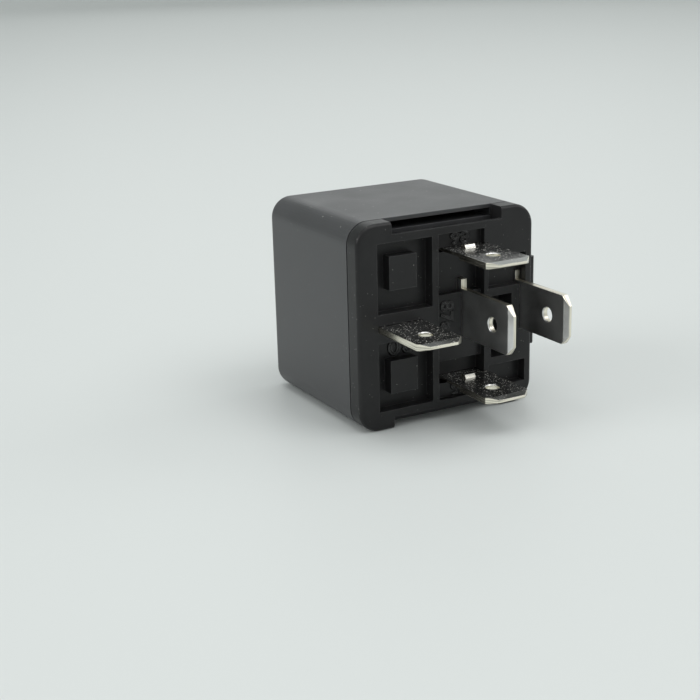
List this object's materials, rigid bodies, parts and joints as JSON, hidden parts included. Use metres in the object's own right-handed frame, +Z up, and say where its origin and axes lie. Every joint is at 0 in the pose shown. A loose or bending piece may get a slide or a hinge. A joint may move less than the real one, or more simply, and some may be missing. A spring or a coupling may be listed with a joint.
{
  "type": "automotive relay",
  "caption": "Box-shaped plug-in changeover relay with flat push-on blades, a moulded base with pockets and a clip-on cover, lying on its side.",
  "frame": {"origin": "middle of the side that the housing lies on", "axes": "+Z up from the side it lies on, -Y out of the terminal face along the blades, +Y into the housing, +X towards the key pad and blade 87"},
  "size_m": [0.0266, 0.0342, 0.0265],
  "materials": {
    "cover_plastic": "satin",
    "base_plastic": "satin",
    "tinned_brass": "tin plated",
    "soft_iron": "zinc plated",
    "bobbin_plastic": "matt",
    "copper_wire": "enamelled",
    "spring_bronze": "rolled",
    "silver_contact": "bright",
    "spring_steel": "drawn",
    "copper_braid": "braided"
  },
  "bodies": {
    "housing": {"cover": "cover_plastic", "terminal_base": "base_plastic", "terminal_30": "tinned_brass", "terminal_85": "tinned_brass", "terminal_86": "tinned_brass", "terminal_87": "tinned_brass", "terminal_87a": "tinned_brass", "yoke": "soft_iron", "core": "soft_iron", "bobbin": "bobbin_plastic", "coil_winding": "copper_wire", "coil_wire_85": "copper_wire", "coil_wire_86": "copper_wire", "fixed_contact_no": "silver_contact", "fixed_contact_nc": "silver_contact", "return_spring": "spring_steel", "flexible_lead": "copper_braid"},
    "armature": {"armature": "soft_iron", "contact_spring": "spring_bronze", "spring_rivets": "soft_iron", "moving_contact": "silver_contact"}
  },
  "joints": [
    {"name": "armature_rock", "type": "hinge", "parent": "housing", "child": "armature", "pos_m": [-0.0095, 0.00581, 0.01325], "axis": [0, 0, -1], "range_deg": [0, 3.2], "stiffness_Nm_per_rad": 0.08, "springref_deg": -2.86}
  ]
}
